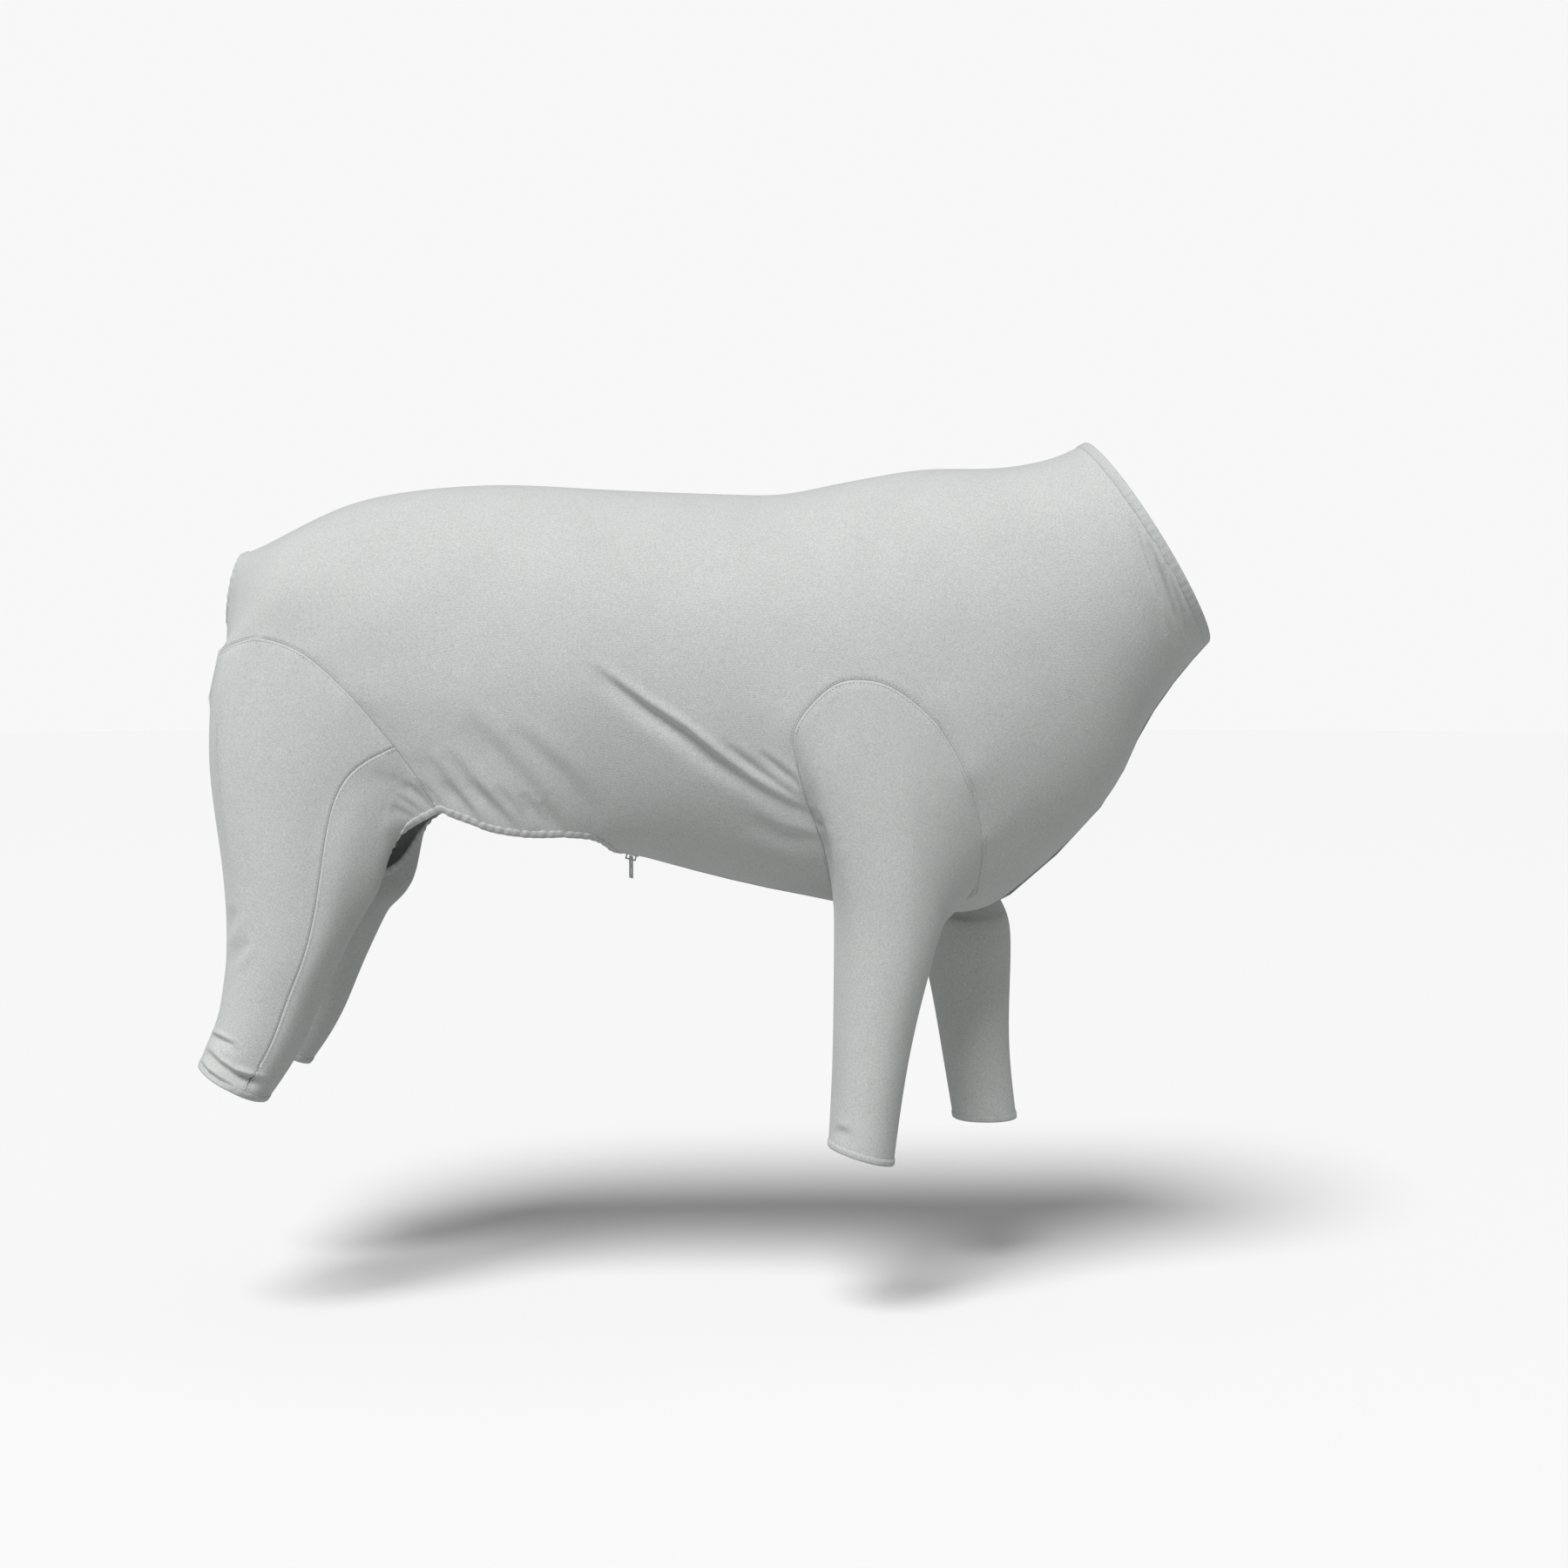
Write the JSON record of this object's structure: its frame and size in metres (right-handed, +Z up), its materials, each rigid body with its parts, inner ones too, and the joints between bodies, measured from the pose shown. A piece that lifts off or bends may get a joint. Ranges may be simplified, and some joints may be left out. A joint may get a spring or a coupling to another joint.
{
  "type": "dog jumpsuit",
  "caption": "Full-body knit dog suit with a high neck, long sleeves on all legs, an open belly, a tail opening and an underside zip with a hanging pull.",
  "frame": {"origin": "on the inner face of the back, on the middle plane, where the suit lies on the animal", "axes": "+X towards the neck, -Y towards the wearer's right side, +Z up"},
  "size_m": [0.7546, 0.2432, 0.5386],
  "materials": {
    "knit": "matt",
    "trim": "matt",
    "coil": "matt",
    "zip_metal": "satin"
  },
  "bodies": {
    "suit": {"body": "knit", "front_sleeve_right": "knit", "front_sleeve_left": "knit", "hind_sleeve_right_outer": "knit", "hind_sleeve_right_inner": "knit", "hind_sleeve_left_outer": "knit", "hind_sleeve_left_inner": "knit", "collar_band": "trim", "cutout_rim": "trim", "tail_binding": "trim", "front_hem_right": "trim", "front_hem_left": "trim", "hind_hem_right": "trim", "hind_hem_left": "trim", "zip_tape_right": "trim", "zip_tape_left": "trim", "zip_coil": "coil", "zip_slider": "zip_metal"},
    "pull": {"zip_pull": "zip_metal"}
  },
  "joints": [
    {"name": "pull_swing", "type": "hinge", "parent": "suit", "child": "pull", "pos_m": [-0.05065, 0, -0.27464], "axis": [-0.342, 0.9397, 0], "range_deg": [-45, 45]}
  ]
}
